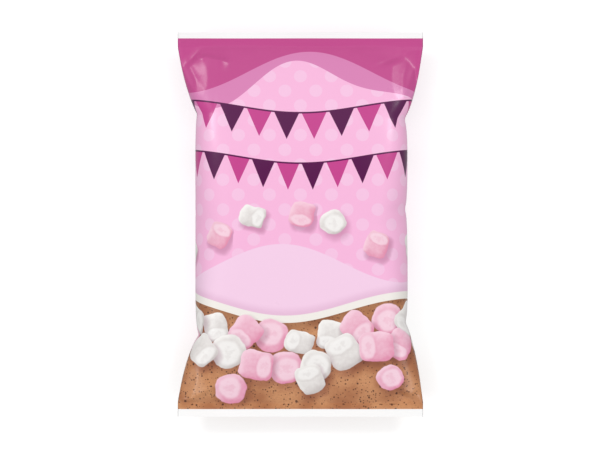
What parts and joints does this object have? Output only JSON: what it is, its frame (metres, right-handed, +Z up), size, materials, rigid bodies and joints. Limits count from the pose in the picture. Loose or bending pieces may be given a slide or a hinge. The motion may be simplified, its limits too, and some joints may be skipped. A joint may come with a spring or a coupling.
{
  "type": "marshmallow bag",
  "caption": "Filled pillow pack of mini marshmallows, lying on its back: one tube of printed plastic film with a flat seal across each end.",
  "frame": {"origin": "on the surface that the pack lies on, under the middle of the pack", "axes": "+X across the pack, +Y along its length towards the top seal, +Z up out of the shown panel"},
  "size_m": [0.16, 0.2506, 0.0435],
  "materials": {
    "film": "satin printed film, pale pink"
  },
  "bodies": {
    "root": {"pack": "film"}
  },
  "joints": []
}
